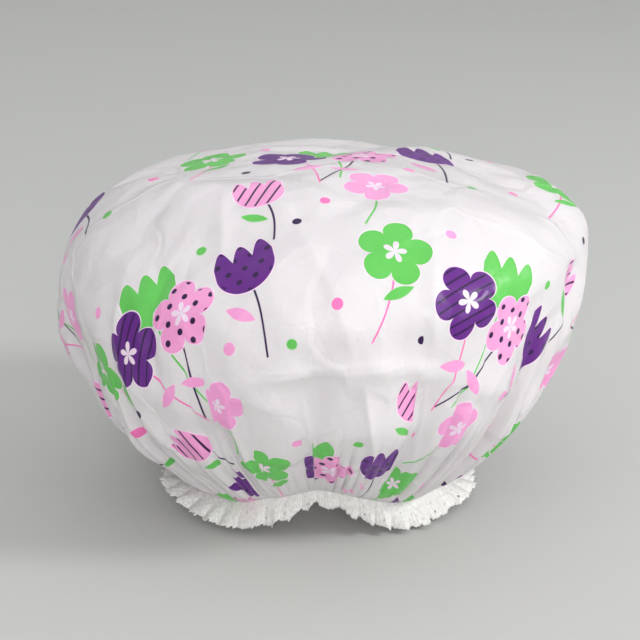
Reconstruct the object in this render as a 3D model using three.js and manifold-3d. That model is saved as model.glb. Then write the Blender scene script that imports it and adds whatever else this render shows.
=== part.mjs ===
// A puffed shower cap standing on its lace: a disc of thin film gathered on an elastic band, with a ruffled
// lace trim sewn behind the hem. Millimetres, +Z up, the origin under the middle of the cap on the table.
// The front of the cap faces -Y, and azimuths run from +X towards +Y.
import * as THREE from 'three';
import { mergeVertices } from 'three/addons/utils/BufferGeometryUtils.js';
import Module from 'manifold-3d';

// Overall sizes of the puffed cap
const capWidth = 232;
const capDepth = 226;
const capHeight = 152;
const shoulderHeight = 103;
const hemRadius = 59;
const hemLift = 11;

// Film
const filmThickness = 0.2;
const hemFoldRadius = 1.6;
const hemAllowance = 10;
const gatherDepth = 6;
const hemGatherDepth = 0.7;
const crumpleSpacing = 40;
const crumpleHeight = 3.4;

// Elastic band
const elasticThickness = 0.8;
const elasticWidth = 6;
const elasticLap = 12;

// Lace trim
const laceThickness = 0.5;
const laceWidth = 22;
const laceHeading = 8;
const ruffleHeight = 2.2;
const scallopDepth = 1.4;
const laceLap = 9;
const footFlat = 0.5;

// Sewing thread
const threadRadius = 0.2;
const seamWidth = 2.6;
const seamMargin = 0.8;
const joinWidth = 1;

// Clearance between sewn layers, how far a cut runs past what it trims, and how near two corners are one
const seatGap = 0.3;
const cutOverrun = 20;
const weldDistance = 0.0001;

// Counts
const gatherCount = 16;
const samplesPerGather = 3;
const crownRows = 8;
const sideRows = 5;
const foldRows = 1;
const ruffleCount = 44;
const samplesPerRuffle = 3;
const flareRows = 2;
const elasticSteps = 72;
const seamZigzags = 50;
const joinZigzags = 7;
const threadSides = 4;
const settlingRounds = 40;
const reachSteps = 100;

// Shape of the puffed film, as shares of the sizes above
const shoulderTiltShare = 0.09;
const crownRoundness = 2.35;
const bellyDropShare = 0.32;
const bellyReachShare = 0.45;
const gatherSharpness = 2.2;
const ruffleGrowth = 1.4;
const crownRowSpread = 1.15;
const climbMarginShare = 0.25;
const slopeStep = 0.002;

// Places along the meridian, where 0 is the crown, 1 the shoulder, 2 the hem, 3 the end of the bottom fold
// and 4 the top of the turned-in allowance: where the crumples ease and end, where the side's gathers
// start, are deepest, ease and end, and where the hem's own puckers have died out
const crumplesEase = 1.35;
const crumplesEnd = 1.65;
const gathersStart = 0.8;
const gathersFull = 1.45;
const gathersEase = 1.7;
const gathersEnd = 1.98;
const puckersEnd = 2.9;

// The crumples' lattice drifts to and fro by a share of its spacing, and its corners stand at uneven
// heights
const crumpleDriftShare = 0.28;
const crumpleDrifts = { across: 1.9, acrossPhase: 0.7, up: 1.6, upPhase: 2.1 };
const crumpleMix = { across: 2.7, up: 4.3, both: 1.9 };

// Towards the middle of the crown, neighbouring columns of the film meet in one corner
const meetingColumns = [
  { until: 0.3, columns: 4 },
  { until: 0.5, columns: 2 },
];

// Angles
const degree = Math.PI / 180;
const fullTurn = 2 * Math.PI;
const flareTurn = 50 * degree;
const flareEase = 45 * degree;
const climbAngle = 24 * degree;
const elasticLapAt = 118 * degree;
const laceLapAt = 188 * degree;
const threadTail = 1.5 * degree;

// Where the hem lifts off the table, how far each side of there it takes to come down, and its share of
// hemLift. Between two lifts the lace stands on the table.
const hemLiftShares = [
  { at: -91 * degree, spread: 42 * degree, share: 1 },
  { at: -28 * degree, spread: 20 * degree, share: 0.25 },
  { at: 26 * degree, spread: 24 * degree, share: 0.33 },
  { at: 88 * degree, spread: 30 * degree, share: 0.5 },
  { at: 148 * degree, spread: 24 * degree, share: 0.33 },
  { at: 204 * degree, spread: 20 * degree, share: 0.25 },
];

// Uneven spacing of the gathers: waves round the cap, their swing in radians and their phase
const gatherWander = [
  { waves: 3, swing: 0.04, phase: 0.6 },
  { waves: 5, swing: 0.03, phase: 2.1 },
  { waves: 7, swing: 0.02, phase: 4.0 },
];

// Soft dents in the puffed film: azimuth, place along the meridian (0 crown, 1 shoulder, 2 hem), spreads,
// and depth as a share of the cap's height
const dentShares = [
  { at: 205 * degree, along: 1.15, spread: 15 * degree, reach: 0.3, share: 0.045 },
  { at: -58 * degree, along: 1.2, spread: 22 * degree, reach: 0.25, share: 0.03 },
  { at: -112 * degree, along: 0.66, spread: 20 * degree, reach: 0.16, share: 0.016 },
  { at: 60 * degree, along: 0.7, spread: 24 * degree, reach: 0.2, share: 0.02 },
  { at: 130 * degree, along: 1.25, spread: 18 * degree, reach: 0.3, share: 0.035 },
];

const smoothstep = (low, high, x) => THREE.MathUtils.smoothstep(x, low, high);

// The angle from one azimuth to another, between minus and plus half a turn
const between = (from, to) => THREE.MathUtils.euclideanModulo(to - from + Math.PI, fullTurn) - Math.PI;

const bump = (from, to, spread) => Math.exp(-((between(from, to) / spread) ** 2));

const steps = (count) => Array.from({ length: count + 1 }, (_, i) => i / count);

// How much of a lift is left at an azimuth, from 1 at its middle to 0 at its spread
const arch = (from, to, spread) => {
  const away = Math.min(Math.abs(between(from, to)) / spread, 1);
  return Math.cos((away * Math.PI) / 2) ** 2;
};

const liftShareAt = (azimuth) =>
  hemLiftShares.reduce((sum, lift) => sum + lift.share * arch(lift.at, azimuth, lift.spread), 0);

// The lace bends once, under the hem's fold, and flares least where the hem lifts it clear of the table
const laceTurnRadius = hemFoldRadius + seatGap + laceThickness / 2;
const flareAt = (azimuth) => flareTurn - flareEase * liftShareAt(azimuth);
const cornerLength = (flare) => laceTurnRadius * Math.tan(flare / 2);
const flareLength = laceWidth - laceHeading - cornerLength(flareTurn);

// The hem's lowest height puts the flare's lowest ruffles a little way into the table, which trims their
// feet
const flareDrop = cornerLength(flareTurn) + flareLength * Math.cos(flareTurn);
const ruffleCrest = Math.max(...steps(samplesPerRuffle).map((share) => Math.sin(share * fullTurn)));
const ruffleReach = ruffleHeight * ruffleCrest + laceThickness / 2;
const hemHeight = flareDrop + ruffleReach * Math.sin(flareTurn) - footFlat - hemFoldRadius;
const hemHeightAt = (azimuth) => hemHeight + hemLift * liftShareAt(azimuth);

const shoulderRadiusAt = (azimuth) => {
  const halfWidth = capWidth / 2;
  const halfDepth = capDepth / 2;
  return (halfWidth * halfDepth) / Math.hypot(halfDepth * Math.cos(azimuth), halfWidth * Math.sin(azimuth));
};

// The radius and height of the film's printed side at one azimuth and one place along the meridian
function meridian(azimuth, along) {
  const shoulderRadius = shoulderRadiusAt(azimuth);
  const shoulder = shoulderHeight * (1 + shoulderTiltShare * Math.cos(azimuth));
  const hem = hemHeightAt(azimuth);
  if (along <= 1) {
    const outward = Math.sin((along * Math.PI) / 2);
    const rise = Math.sqrt(Math.max(0, 1 - outward ** crownRoundness));
    return new THREE.Vector2(shoulderRadius * outward, shoulder + (capHeight - shoulder) * rise);
  }
  if (along <= 2) {
    const side = new THREE.CubicBezierCurve(
      new THREE.Vector2(shoulderRadius, shoulder),
      new THREE.Vector2(shoulderRadius, shoulder - bellyDropShare * (shoulder - hem)),
      new THREE.Vector2(hemRadius + bellyReachShare * (shoulderRadius - hemRadius), hem),
      new THREE.Vector2(hemRadius, hem),
    );
    return side.getPoint(along - 1);
  }
  if (along <= 3) {
    const turn = ((along - 2) * Math.PI) / 2;
    return new THREE.Vector2(
      hemRadius - hemFoldRadius * Math.sin(turn),
      hem + hemFoldRadius * (1 - Math.cos(turn)),
    );
  }
  const upright = (along - 3) * (hemAllowance - hemFoldRadius);
  return new THREE.Vector2(hemRadius - hemFoldRadius, hem + hemFoldRadius + upright);
}

const around = (azimuth, radius, height) =>
  new THREE.Vector3(radius * Math.cos(azimuth), radius * Math.sin(azimuth), height);

function meanPoint(azimuth, along) {
  const at = meridian(azimuth, along);
  return around(azimuth, at.x, at.y);
}

// The printed side's normal before the gathers are drawn in, by differences
function meanNormal(azimuth, along) {
  const near = Math.max(along, slopeStep);
  const outward = meanPoint(azimuth, near + slopeStep).sub(meanPoint(azimuth, near - slopeStep));
  const sideways = meanPoint(azimuth + slopeStep, near).sub(meanPoint(azimuth - slopeStep, near));
  return outward.cross(sideways).normalize();
}

const wander = (azimuth) =>
  gatherWander.reduce((sum, w) => sum + w.swing * Math.sin(w.waves * azimuth + w.phase), 0);

// The azimuth at which the gathers have run through a given share of a full turn
function azimuthOfGather(turned) {
  let azimuth = turned;
  for (let i = 0; i < settlingRounds; i++) azimuth = turned - wander(azimuth);
  return azimuth;
}

// How deep the gathers are drawn in along the meridian: none on the crown, most halfway down the side
function gatherDepthAt(along) {
  const eased = smoothstep(gathersEase, gathersEnd, along);
  const side = smoothstep(gathersStart, gathersFull, along) * (1 - eased);
  const hem = eased * (1 - smoothstep(2, puckersEnd, along));
  return gatherDepth * side + hemGatherDepth * hem;
}

// How far from the middle of the flat disc a place on the meridian is cut, measured at the back of the cap
function flatReachAt(along) {
  const places = steps(reachSteps).map((share) => meridian(Math.PI / 2, share * along));
  return places.slice(1).reduce((sum, place, i) => sum + place.distanceTo(places[i]), 0);
}

// The crumpled film's height, from -1 to 1: flat triangles between the corners of a lattice on the disc
function crumpleAt(azimuth, along) {
  const reach = flatReachAt(along) / crumpleSpacing;
  const x = reach * Math.cos(azimuth);
  const y = reach * Math.sin(azimuth);
  const across = x + crumpleDriftShare * Math.sin(crumpleDrifts.across * y + crumpleDrifts.acrossPhase);
  const up = y + crumpleDriftShare * Math.sin(crumpleDrifts.up * x + crumpleDrifts.upPhase);
  const row = up / Math.sin(Math.PI / 3);
  const column = across - row / 2;
  const i = Math.floor(column);
  const j = Math.floor(row);
  const corner = (di, dj) => {
    const [m, n] = [i + di, j + dj];
    return Math.sin(crumpleMix.across * m + crumpleMix.up * n + crumpleMix.both * m * n);
  };
  const right = column - i;
  const above = row - j;
  if (right + above < 1) {
    return corner(0, 0) * (1 - right - above) + corner(1, 0) * right + corner(0, 1) * above;
  }
  return corner(1, 1) * (right + above - 1) + corner(0, 1) * (1 - right) + corner(1, 0) * (1 - above);
}

function inwardPush(azimuth, along) {
  const phase = gatherCount * (azimuth + wander(azimuth));
  const crease = (0.5 + 0.5 * Math.cos(phase)) ** gatherSharpness;
  const dents = dentShares.reduce((sum, dent) => {
    const down = Math.exp(-(((along - dent.along) / dent.reach) ** 2));
    return sum + dent.share * bump(dent.at, azimuth, dent.spread) * down;
  }, 0);
  const crumples = (1 - smoothstep(crumplesEase, crumplesEnd, along)) * crumpleAt(azimuth, along);
  return gatherDepthAt(along) * crease + capHeight * dents - crumpleHeight * crumples;
}

// A closed thin solid from two grids of points, rows by columns, the front seen with columns running to the
// left as rows run down. wrap joins the last column to the first, and pole draws the first row to a point.
function thinSolid(front, back, { wrap = false, pole = false } = {}) {
  const rows = front.length;
  const columns = front[0].length;
  const positions = [];
  const index = [];
  const put = (p) => positions.push(p.x, p.y, p.z) / 3 - 1;
  const number = (grid) => grid.map((row) => row.map(put));
  const f = number(front);
  const b = number(back);
  // Both skins are split along the same diagonals, so that the wall is even
  const quad = (p, q, r, s) => index.push(p, q, r, p, r, s);
  const lastColumn = wrap ? columns : columns - 1;
  for (let i = 0; i < rows - 1; i++) {
    for (let j = 0; j < lastColumn; j++) {
      const k = (j + 1) % columns;
      quad(f[i][j], f[i + 1][j], f[i + 1][k], f[i][k]);
      quad(b[i][j], b[i][k], b[i + 1][k], b[i + 1][j]);
    }
  }
  for (let j = 0; j < lastColumn; j++) {
    const k = (j + 1) % columns;
    if (!pole) quad(b[0][j], f[0][j], f[0][k], b[0][k]);
    quad(f[rows - 1][j], b[rows - 1][j], b[rows - 1][k], f[rows - 1][k]);
  }
  if (!wrap) {
    for (let i = 0; i < rows - 1; i++) {
      const end = columns - 1;
      quad(f[i][0], b[i][0], b[i + 1][0], f[i + 1][0]);
      quad(f[i + 1][end], b[i + 1][end], b[i][end], f[i][end]);
    }
  }
  return weld(positions, index);
}

// Merges equal corners and drops the triangles that a pole leaves with no area
function weld(positions, index) {
  const loose = new THREE.BufferGeometry();
  loose.setAttribute('position', new THREE.Float32BufferAttribute(positions, 3));
  loose.setIndex(index);
  const merged = mergeVertices(loose, weldDistance);
  const corners = Array.from(merged.index.array);
  const kept = [];
  for (let i = 0; i < corners.length; i += 3) {
    const [a, b, c] = corners.slice(i, i + 3);
    if (a !== b && b !== c && c !== a) kept.push(a, b, c);
  }
  merged.setIndex(kept);
  return merged;
}

// A round strand of thread along a list of points
function strand(points, radius) {
  const rings = points.map((point, i) => {
    const ahead = points[Math.min(i + 1, points.length - 1)];
    const behind = points[Math.max(i - 1, 0)];
    const along = ahead.clone().sub(behind).normalize();
    const out = new THREE.Vector3(point.x, point.y, 0).normalize();
    const side = along.clone().cross(out).normalize();
    return Array.from({ length: threadSides }, (_, k) => {
      const turn = (k * fullTurn) / threadSides;
      return point
        .clone()
        .addScaledVector(out, radius * Math.cos(turn))
        .addScaledVector(side, radius * Math.sin(turn));
    });
  });
  const positions = rings.flat().flatMap((p) => [p.x, p.y, p.z]);
  const index = [];
  const corner = (ring, k) => ring * threadSides + (k % threadSides);
  for (let ring = 0; ring < rings.length - 1; ring++) {
    for (let k = 0; k < threadSides; k++) {
      index.push(corner(ring, k), corner(ring, k + 1), corner(ring + 1, k + 1));
      index.push(corner(ring, k), corner(ring + 1, k + 1), corner(ring + 1, k));
    }
  }
  const last = rings.length - 1;
  for (let k = 1; k < threadSides - 1; k++) {
    index.push(corner(0, 0), corner(0, k + 1), corner(0, k));
    index.push(corner(last, 0), corner(last, k), corner(last, k + 1));
  }
  return weld(positions, index);
}

function filmGeometry() {
  const columns = gatherCount * samplesPerGather;
  const azimuths = Array.from({ length: columns }, (_, j) => azimuthOfGather((j * fullTurn) / columns));
  const rows = [
    ...steps(crownRows).map((share) => share ** crownRowSpread),
    ...steps(sideRows).slice(1).map((s) => 1 + s),
    ...steps(foldRows).slice(1).map((s) => 2 + s),
    4,
  ];
  const meetingAt = (along) => meetingColumns.find(({ until }) => along < until)?.columns ?? 1;
  const side = (depth) =>
    rows.map((along) =>
      azimuths.map((_, column) => {
        const azimuth = azimuths[column - (column % meetingAt(along))];
        const push = inwardPush(along > 0 ? azimuth : 0, along);
        const normal = along > 0 ? meanNormal(azimuth, along) : new THREE.Vector3(0, 0, 1);
        return meanPoint(azimuth, along).addScaledVector(normal, -push - depth);
      }),
    );
  return thinSolid(side(0), side(filmThickness), { wrap: true, pole: true });
}

// How far a band has climbed towards its second layer, a turned angle past its start
function climbAt(lapAngle, turned) {
  const climbed = fullTurn - climbMarginShare * lapAngle;
  return smoothstep(climbed - climbAngle, climbed, turned);
}

// A band sewn on round the hem whose ends lap. onto(azimuth, layer, column) gives the cross-section at one
// place, as pairs of front and back points. layer runs from 0 to 1 as the band climbs onto its own start.
function lappedBand(lapStart, lapAngle, count, onto) {
  const sweep = fullTurn + lapAngle;
  const columns = steps(count).map((share, i) => {
    const turned = share * sweep;
    const layer = climbAt(lapAngle, turned);
    return onto(lapStart + turned, layer, i);
  });
  const rows = columns[0].length;
  const grid = (face) => Array.from({ length: rows }, (_, i) => columns.map((column) => column[i][face]));
  return thinSolid(grid('front'), grid('back'));
}

// The elastic lies in the fold, on the outer side of the turned-in allowance
const elasticInner = hemRadius - hemFoldRadius + filmThickness + seatGap;
const elasticFoot = hemFoldRadius;
const elasticLapAngle = elasticLap / elasticInner;
const elasticStack = elasticThickness + seatGap;

function elasticGeometry() {
  return lappedBand(elasticLapAt, elasticLapAngle, elasticSteps, (azimuth, layer) => {
    const inner = elasticInner + layer * elasticStack;
    const foot = hemHeightAt(azimuth) + elasticFoot;
    return [foot + elasticWidth, foot].map((height) => ({
      front: around(azimuth, inner + elasticThickness, height),
      back: around(azimuth, inner, height),
    }));
  });
}

// The lace's heading lies on the inner side of the allowance, bends out under the fold and flares
const laceHeadingRadius = hemRadius - laceTurnRadius;
const laceLapAngle = laceLap / laceHeadingRadius;
const laceStack = laceThickness + seatGap;

function laceSection(azimuth, layer, column) {
  const centre = new THREE.Vector2(hemRadius, hemHeightAt(azimuth) + hemFoldRadius);
  const turnRadius = laceTurnRadius + layer * laceStack;
  const section = [];
  // at is a point of the lace's middle, and reach goes from there to its outer face
  const add = (at, reach) => {
    const outer = at.clone().add(reach);
    const inner = at.clone().sub(reach);
    section.push({ front: around(azimuth, outer.x, outer.y), back: around(azimuth, inner.x, inner.y) });
  };
  const towards = (angle, length) => new THREE.Vector2(length * Math.cos(angle), length * Math.sin(angle));
  add(centre.clone().add(new THREE.Vector2(-turnRadius, laceHeading)), towards(0, laceThickness / 2));
  const flare = flareAt(azimuth);
  const corner = centre.clone().sub(towards(flare / 2, turnRadius / Math.cos(flare / 2)));
  add(corner, towards(flare / 2, laceThickness / 2 / Math.cos(flare / 2)));
  const phase = (column * fullTurn) / samplesPerRuffle;
  const length = flareLength - scallopDepth * (0.5 + 0.5 * Math.sin(phase));
  for (const share of steps(flareRows).slice(1)) {
    const wave = ruffleHeight * share ** ruffleGrowth * Math.sin(phase);
    const at = corner.clone().add(towards(flare - Math.PI / 2, share * length));
    add(at.add(towards(flare, wave)), towards(flare, laceThickness / 2));
  }
  return section;
}

function asSolid(wasm, geometry) {
  const bare = geometry.clone();
  bare.deleteAttribute('normal');
  bare.deleteAttribute('uv');
  const merged = mergeVertices(bare, weldDistance);
  return new wasm.Manifold(
    new wasm.Mesh({
      numProp: 3,
      vertProperties: merged.attributes.position.array,
      triVerts: new Uint32Array(merged.index.array),
    }),
  );
}

function asGeometry(solid) {
  const mesh = solid.getMesh();
  const geometry = new THREE.BufferGeometry();
  geometry.setAttribute('position', new THREE.BufferAttribute(mesh.vertProperties, 3));
  geometry.setIndex(new THREE.BufferAttribute(mesh.triVerts, 1));
  return geometry;
}

// The lace is pressed flat where it stands on the table
function laceGeometry(wasm) {
  const count = Math.round((ruffleCount * samplesPerRuffle * (fullTurn + laceLapAngle)) / fullTurn);
  const lace = lappedBand(laceLapAt, laceLapAngle, count, laceSection);
  const table = new THREE.BoxGeometry(capWidth, capDepth, cutOverrun);
  table.translate(0, 0, -cutOverrun / 2);
  return asGeometry(asSolid(wasm, lace).subtract(asSolid(wasm, table)));
}

// A zigzag of thread on a ring: from one azimuth through a sweep, with its low and high edge above the hem
function zigzag(start, sweep, count, radiusAt, low, high) {
  const points = steps(2 * count).map((share, i) => {
    const azimuth = start + share * sweep;
    return around(azimuth, radiusAt(azimuth), hemHeightAt(azimuth) + (i % 2 ? high : low));
  });
  return strand(points, threadRadius);
}

// The layer of a lapped band that a seam runs over at an azimuth, up to one stitch past the lap's end
const stitchAngle = fullTurn / (2 * seamZigzags);

function lapLayer(lapStart, lapAngle, azimuth) {
  const turned = THREE.MathUtils.euclideanModulo(azimuth - lapStart, fullTurn);
  return turned < lapAngle + stitchAngle ? 1 : climbAt(lapAngle, turned);
}

const onElastic = (azimuth) =>
  elasticInner +
  elasticThickness +
  elasticStack * lapLayer(elasticLapAt, elasticLapAngle, azimuth) +
  seatGap +
  threadRadius;

const onHeading = (azimuth) =>
  laceHeadingRadius -
  laceThickness / 2 -
  laceStack * lapLayer(laceLapAt, laceLapAngle, azimuth) -
  seatGap -
  threadRadius;

const seamLow = elasticFoot + seamMargin;
const seamHigh = seamLow + seamWidth;
const joinLow = seamHigh + seamMargin;
const joinHigh = joinLow + joinWidth;

function seamGeometry(radiusAt, start) {
  return zigzag(start + threadTail, fullTurn - 2 * threadTail, seamZigzags, radiusAt, seamLow, seamHigh);
}

function joinGeometry(radiusAt, lapStart, lapAngle) {
  return zigzag(lapStart, lapAngle, joinZigzags, radiusAt, joinLow, joinHigh);
}

const filmMaterial = new THREE.MeshStandardMaterial({ color: 0xe9e4e6, roughness: 0.35, metalness: 0 });
const elasticMaterial = new THREE.MeshStandardMaterial({ color: 0xe8e5de, roughness: 0.8, metalness: 0 });
const laceMaterial = new THREE.MeshStandardMaterial({ color: 0xf2f1ec, roughness: 0.9, metalness: 0 });
const threadMaterial = new THREE.MeshStandardMaterial({ color: 0xf4f3f0, roughness: 0.7, metalness: 0 });

function piece(name, geometry, material) {
  geometry.computeVertexNormals();
  const mesh = new THREE.Mesh(geometry, material);
  mesh.name = name;
  return mesh;
}

const wasm = await Module();
wasm.setup();

const cap = new THREE.Group();
cap.add(piece('cap_film', filmGeometry(), filmMaterial));
cap.add(piece('elastic_band', elasticGeometry(), elasticMaterial));
cap.add(piece('lace_trim', laceGeometry(wasm), laceMaterial));
cap.add(piece('seam_needle_thread', seamGeometry(onElastic, elasticLapAt), threadMaterial));
cap.add(piece('seam_bobbin_thread', seamGeometry(onHeading, laceLapAt), threadMaterial));
const elasticJoin = joinGeometry(onElastic, elasticLapAt, elasticLapAngle);
const laceJoin = joinGeometry(onHeading, laceLapAt, laceLapAngle);
cap.add(piece('elastic_join_thread', elasticJoin, threadMaterial));
cap.add(piece('lace_join_thread', laceJoin, threadMaterial));

export default cap;
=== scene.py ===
import math

import bpy
import numpy as np
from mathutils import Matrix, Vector, noise


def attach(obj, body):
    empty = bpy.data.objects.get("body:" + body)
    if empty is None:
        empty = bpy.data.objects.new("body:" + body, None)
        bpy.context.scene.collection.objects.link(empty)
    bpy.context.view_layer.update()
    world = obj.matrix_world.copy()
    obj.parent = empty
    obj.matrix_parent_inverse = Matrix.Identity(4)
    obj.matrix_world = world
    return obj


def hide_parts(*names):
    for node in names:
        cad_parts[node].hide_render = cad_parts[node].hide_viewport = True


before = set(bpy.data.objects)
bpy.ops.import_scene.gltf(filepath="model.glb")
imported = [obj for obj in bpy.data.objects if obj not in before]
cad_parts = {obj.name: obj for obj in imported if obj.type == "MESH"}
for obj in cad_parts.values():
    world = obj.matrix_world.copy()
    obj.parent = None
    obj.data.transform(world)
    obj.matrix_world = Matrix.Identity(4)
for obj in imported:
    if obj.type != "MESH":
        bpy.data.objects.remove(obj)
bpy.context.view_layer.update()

MM = 0.001
DEGREE = math.pi / 180
FULL_TURN = 2 * math.pi

# Overall sizes of the puffed cap, as in the solids
CAP_WIDTH = 232 * MM
CAP_DEPTH = 226 * MM
CAP_HEIGHT = 152 * MM
SHOULDER_HEIGHT = 103 * MM
HEM_RADIUS = 59 * MM
HEM_LIFT = 11 * MM

# Film
FILM_THICKNESS = 0.2 * MM
HEM_FOLD_RADIUS = 1.6 * MM
HEM_ALLOWANCE = 10 * MM
FLAT_DIAMETER = 0.518
GATHER_COUNT = 16
GATHER_DEPTH = 6 * MM
GATHER_SHARPNESS = 2.2
FINE_GATHERS = 47
FINE_GATHER_DEPTH = 5.4 * MM
HEM_GATHERS = 127
HEM_GATHER_DEPTH = 5.2 * MM
HIDDEN_IN_GATHERS = 0.65
HEM_CREASE_DEPTH = 0.5 * MM
FINE_GATHER_MEAN = 0.7
PUCKER_SHARPNESS = 0.8

# Places along the meridian (0 crown, 1 shoulder, 2 hem) between which the film's relief grows or ends
GATHERS_GROW = (0.8, 1.45)
GATHERS_END = (1.7, 1.98)
HEM_CREASES_END = (2, 2.9)
FINE_GROW = (1.08, 1.62)
FINE_END = (1.84, 1.99)
PUCKERS_GROW = (1.3, 1.8)
PUCKERS_SHRINK = (1.9, 2.0)
PUCKERS_END = (2.0, 2.4)
CREASES_END = (1.75, 1.98)
CRUMPLES_END = (1.35, 1.65)

# Share of its depth that each kind of gather has away from the front, and how much less at the front; and
# how much of the puckers is gone once they have shrunk
GATHERS_ROUND = (1, 0.35)
FINE_ROUND = (1.25, 1.2)
PUCKERS_ROUND = (1.1, 0.95)
PUCKERS_SHRUNK = 0.85

# The film's mesh: rings over the crown, down the side, round the fold and up the allowance, and the points
# round a ring that lies within each distance of the middle of the flat film
CROWN_REACH = 150 * MM
CROWN_RINGS = 57
SIDE_RINGS = 22
FOLD_RINGS = 4
EDGE_RINGS = 3
RING_POINTS = [(28 * MM, 120), (62 * MM, 240), (151 * MM, 480), (math.inf, 960)]

# Elastic band
ELASTIC_THICKNESS = 0.8 * MM
ELASTIC_WIDTH = 6 * MM
ELASTIC_LAP = 12 * MM
ELASTIC_COLUMNS = 900
ELASTIC_CORDS = 5
ROWS_PER_CORD = 6
CORD_INSET = 0.12 * MM
CORD_VALLEY = 0.55
ELASTIC_EDGE = 0.25
ELASTIC_EDGE_RISE = 8
ELASTIC_PUCKERS = 260
ELASTIC_PUCKER_DEPTH = 0.06 * MM

# Lace trim
LACE_THICKNESS = 0.5 * MM
LACE_WIDTH = 22 * MM
LACE_HEADING = 8 * MM
RUFFLE_COUNT = 44
RUFFLE_HEIGHT = 2.1 * MM
RUFFLE_GROWTH = 0.9
SCALLOP_DEPTH = 1.4 * MM
LACE_LAP = 9 * MM
LACE_FULLNESS = 1.3
RIBS_PER_RUFFLE = 10
FOOT_FLAT = 0.5 * MM
CAD_RUFFLE_HEIGHT = 2.2 * MM
LACE_WALL = 0.7 * LACE_THICKNESS
FLUTE_SHARPNESS = 0.8
RUFFLE_GROWS = (0.12, 1.1)
RUFFLE_SWAY = 0.9 * MM
FRONT_SMOOTHING = 0.6
RIB_RELIEF = 0.18 * MM
RIB_REACH = 0.3 * MM
TOOTH_REACH = 0.5 * MM
LOBE_REACH = 0.5 * MM
LEFT_LOBE_REACH = 1.7 * MM
LOBE_TURN = 5 * DEGREE
TUCK_SHORTENING = 2.5 * MM

# Where a ruffle would sink below this height, the table squeezes its depth under it to this share
FOOT_HEIGHT = 0.2 * MM
FOOT_SQUEEZE = 0.3

# The lace's mesh: rows down the heading and round the bend, as shares of each, then rows down the ruffle
STEPS_PER_RIB = 4
HEADING_ROWS = (1, 0.6, 0.25)
BEND_ROWS = (0, 0.25, 0.5, 0.75, 1)
FLARE_ROWS = 15
EYELET_ROWS = (13, 18)
EYELET_SPACING = 10
EYELET_RIB = 2
EYELET_STEPS = (1, 2)

# Sewing thread
THREAD_RADIUS = 0.17 * MM
SEAM_WIDTH = 2.6 * MM
SEAM_MARGIN = 0.8 * MM
JOIN_WIDTH = 1 * MM
SEAT_GAP = 0.3 * MM
STITCH_POINTS = 6
STITCH_DIP = 1.2
DIP_STEEPNESS = 6
SEAM_STITCHES = 260
ELASTIC_JOIN_STITCHES = 20
LACE_JOIN_STITCHES = 18
SEAM_TAIL = 1.5 * DEGREE
LAP_MARGIN = 2 * DEGREE

# Shape of the puffed film
SHOULDER_TILT = 0.09
CROWN_ROUNDNESS = 2.35
BELLY_DROP = 0.4
BELLY_RISE = 0.15
BELLY_REACH = 0.45
FLARE_TURN = 50 * DEGREE
FLARE_EASE = 45 * DEGREE
LEFT_FLARE = 36 * DEGREE
RIGHT_FLARE = 18 * DEGREE
ELASTIC_LAP_AT = 118 * DEGREE
LACE_LAP_AT = 188 * DEGREE
CLIMB_ANGLE = 24 * DEGREE
CLIMBED_EARLY = 0.25

# Where the hem lifts off the table: azimuth and spread in degrees, and share of the lift
HEM_LIFTS = [
    (-91, 42, 1),
    (-28, 20, 0.25),
    (26, 24, 0.33),
    (88, 30, 0.5),
    (148, 24, 0.33),
    (204, 20, 0.25),
]

# The front arch is a little more peaked than the solid's, and the lace tucks in under its middle
FRONT_PEAK = (-88, 22, 0.25)
FRONT_TUCK = 8 * DEGREE

# Beside the front arch the lace stands more upright and holds the hem higher: azimuth and spread in degrees
FRONT_STANDS = [(-124, 36), (-56, 32)]
STAND_TURN = 24 * DEGREE

# Soft dents: azimuth and spread in degrees, place and reach along the meridian, depth as a share of height
DENTS = [
    (205, 15, 1.15, 0.3, 0.045),
    (-58, 22, 1.2, 0.25, 0.03),
    (-112, 20, 0.66, 0.16, 0.016),
    (60, 24, 0.7, 0.2, 0.02),
    (130, 18, 1.25, 0.3, 0.035),
    (90, 70, 0.45, 0.3, 0.018),
    (206, 26, 1.5, 0.12, -0.008),
    (206, 30, 1.76, 0.12, 0.016),
    (150, 28, 0.72, 0.18, -0.013),
    (40, 30, 0.78, 0.18, -0.016),
    (-4, 40, 0.98, 0.14, 0.022),
    (-6, 42, 1.3, 0.17, -0.014),
]

# Uneven spacing of the main gathers: waves round the cap, swing in radians, phase
GATHER_WANDER = [(3, 0.04, 0.6), (5, 0.03, 2.1), (7, 0.02, 4.0)]

# Uneven spacing of the fine gathers, the puckers and the ruffles: swing in radians, waves round the cap and
# seed of each noise
FINE_WANDER = [(0.11, 9, 8.1), (0.05, 31, 1.3)]
PUCKER_WANDER = [(0.05, 9, 8.1)]
RUFFLE_WANDER = [(0.05, 13, 4.4), (0.02, 37, 6.4)]

# Parts of the way round the cap: azimuth and spread in degrees
FRONT = (-90, 52)
FRONT_LEFT = (-114, 24)
LEFT = (180, 55)
RIGHT = (0, 36)

# Smooth noise comes out small and is made larger by this
NOISE_GAIN = 1.6


def smoothstep(low, high, x):
    t = np.clip((x - low) / (high - low), 0, 1)
    return t * t * (3 - 2 * t)


def between(start, end):
    return (end - start + math.pi) % FULL_TURN - math.pi


def cos_arch(azimuth, at, spread):
    """1 at one azimuth and 0 from its spread on; place and spread in degrees."""
    away = np.minimum(np.abs(between(at * DEGREE, azimuth)) / (spread * DEGREE), 1)
    return np.cos(away * math.pi / 2) ** 2


def bell(azimuth, at, spread):
    """1 at one azimuth, fading smoothly beside it; place and spread in degrees."""
    return np.exp(-((between(at * DEGREE, azimuth) / (spread * DEGREE)) ** 2))


def lift_share(azimuth):
    return sum(share * cos_arch(azimuth, at, spread) for at, spread, share in HEM_LIFTS + [FRONT_PEAK])


def stand_turn(azimuth):
    return STAND_TURN * sum(cos_arch(azimuth, at, spread) for at, spread in FRONT_STANDS)


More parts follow.
